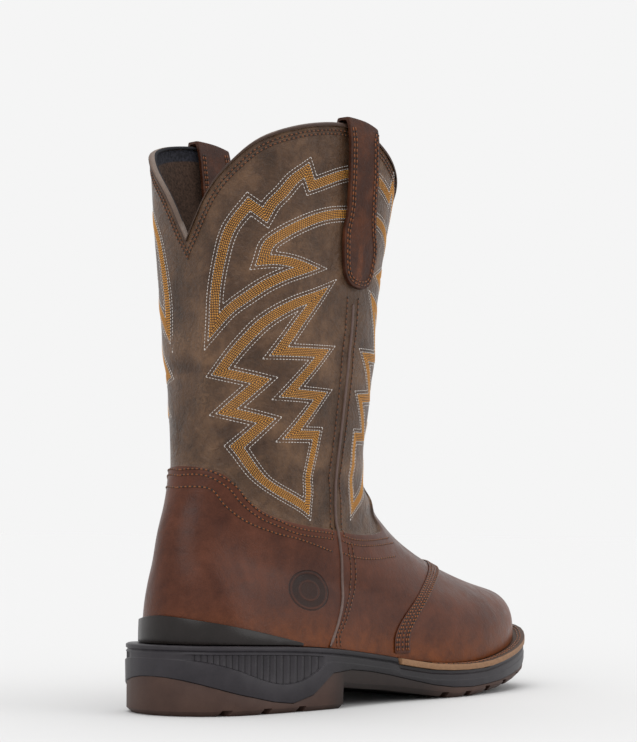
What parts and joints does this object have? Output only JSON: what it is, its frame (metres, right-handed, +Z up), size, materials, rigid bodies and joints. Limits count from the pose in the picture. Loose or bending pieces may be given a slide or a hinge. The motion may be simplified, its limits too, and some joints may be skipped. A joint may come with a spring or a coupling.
{
  "type": "western work boot",
  "caption": "Right pull-on western work boot: scalloped leather shaft with two pull straps, hard heel guard, stitched welt and a heeled rubber sole with transverse lugs.",
  "frame": {"origin": "middle of the heel's flat tread, on the floor", "axes": "+Z up; -Y from the heel to the toe; +X to the inner (medial) side, -X to the outer (lateral) side of a right foot"},
  "size_m": [0.1325, 0.3138, 0.3201],
  "materials": {
    "shaft_leather": "matte waxed",
    "outsole_rubber": "matte",
    "midsole_foam": "matte",
    "welt_leather": "matte",
    "insole_fabric": "matte",
    "guard_rubber": "satin",
    "edge_tape": "matte",
    "strap_leather": "satin",
    "vamp_leather": "satin",
    "piping_cord": "matte"
  },
  "bodies": {
    "root": {"upper": "shaft_leather", "outsole": "outsole_rubber", "midsole": "midsole_foam", "welt": "welt_leather", "insole": "insole_fabric", "counter_guard": "guard_rubber", "collar_binding": "edge_tape", "saddle_strip": "vamp_leather", "piping_outer": "piping_cord", "piping_inner": "piping_cord", "pull_strap_outer": "strap_leather", "pull_strap_inner": "strap_leather"}
  },
  "joints": []
}
